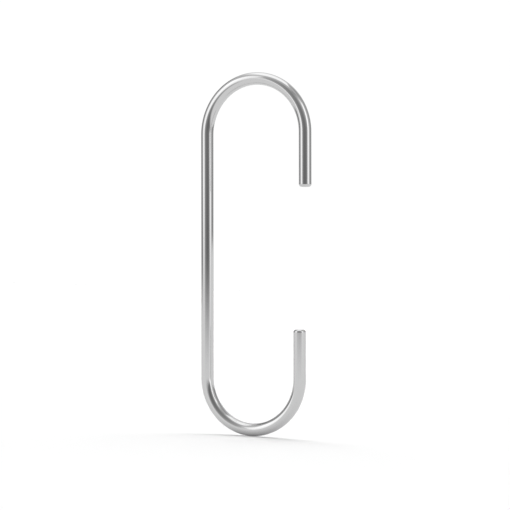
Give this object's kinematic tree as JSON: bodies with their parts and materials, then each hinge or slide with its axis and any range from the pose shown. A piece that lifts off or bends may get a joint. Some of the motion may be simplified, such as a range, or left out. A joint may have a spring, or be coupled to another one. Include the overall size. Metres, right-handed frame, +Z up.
{
  "type": "ornament hook",
  "caption": "C-shaped wire hook: the larger bend goes over a branch or rail, and an ornament's loop hangs in the smaller bend.",
  "frame": {"origin": "bearing point: the lowest point of the wire inside the crown of the upper bend, on the middle plane of the wire", "axes": "+Z up along the straight stem, from the lower bend to the upper one; +X from the stem towards the open side; +Y across the flat hook, along the axes of the bends"},
  "size_m": [0.0196, 0.002, 0.058],
  "materials": {
    "steel_wire": "polished"
  },
  "bodies": {
    "root": {"wire_hook": "steel_wire"}
  },
  "joints": []
}
